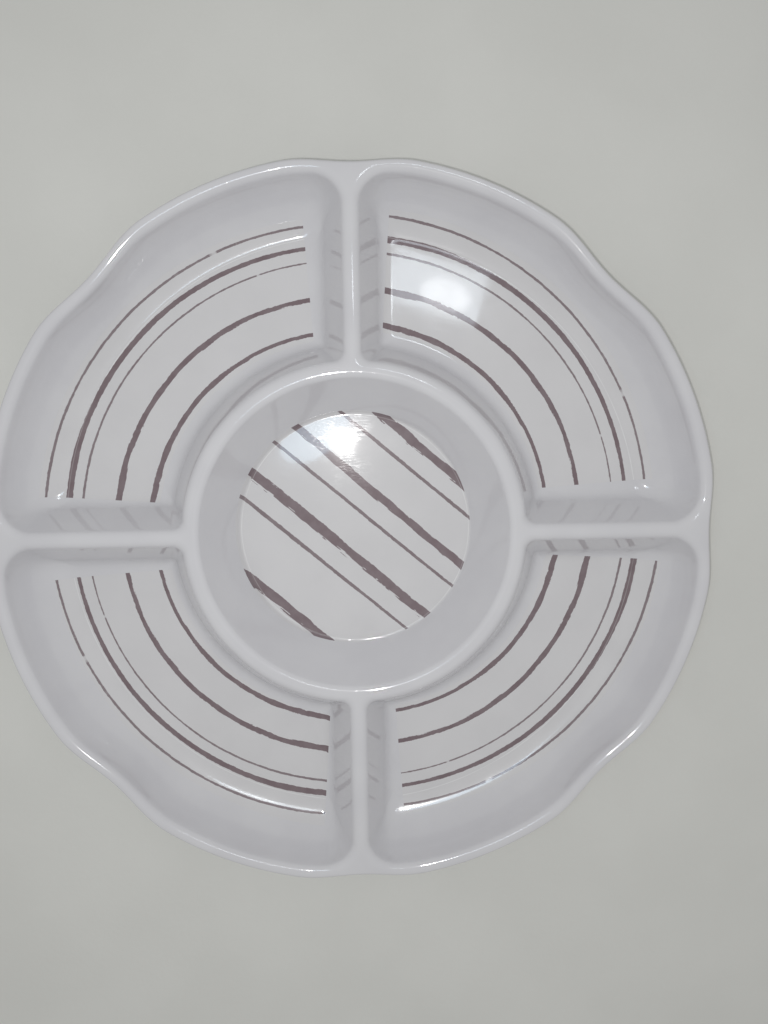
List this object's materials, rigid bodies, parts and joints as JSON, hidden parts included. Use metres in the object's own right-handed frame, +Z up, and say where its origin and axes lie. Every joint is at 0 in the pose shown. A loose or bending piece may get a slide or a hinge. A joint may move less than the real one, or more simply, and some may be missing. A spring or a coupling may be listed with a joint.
{
  "type": "appetizer plate",
  "caption": "Round melamine appetizer plate: scalloped rim, outer compartments round a centre bowl, and striped printed foils set flush in the floors.",
  "frame": {"origin": "on the table under the plate's centre", "axes": "+Z up out of the plate; two of the dividers lie along +X and +Y"},
  "size_m": [0.326, 0.326, 0.029],
  "materials": {
    "melamine": "glossy white melamine",
    "printed_foil": "printed paper foil cured into the glossy melamine"
  },
  "bodies": {
    "root": {"plate_body": "melamine", "outer_foil_1": "printed_foil", "outer_foil_2": "printed_foil", "outer_foil_3": "printed_foil", "outer_foil_4": "printed_foil", "centre_foil": "printed_foil"}
  },
  "joints": []
}
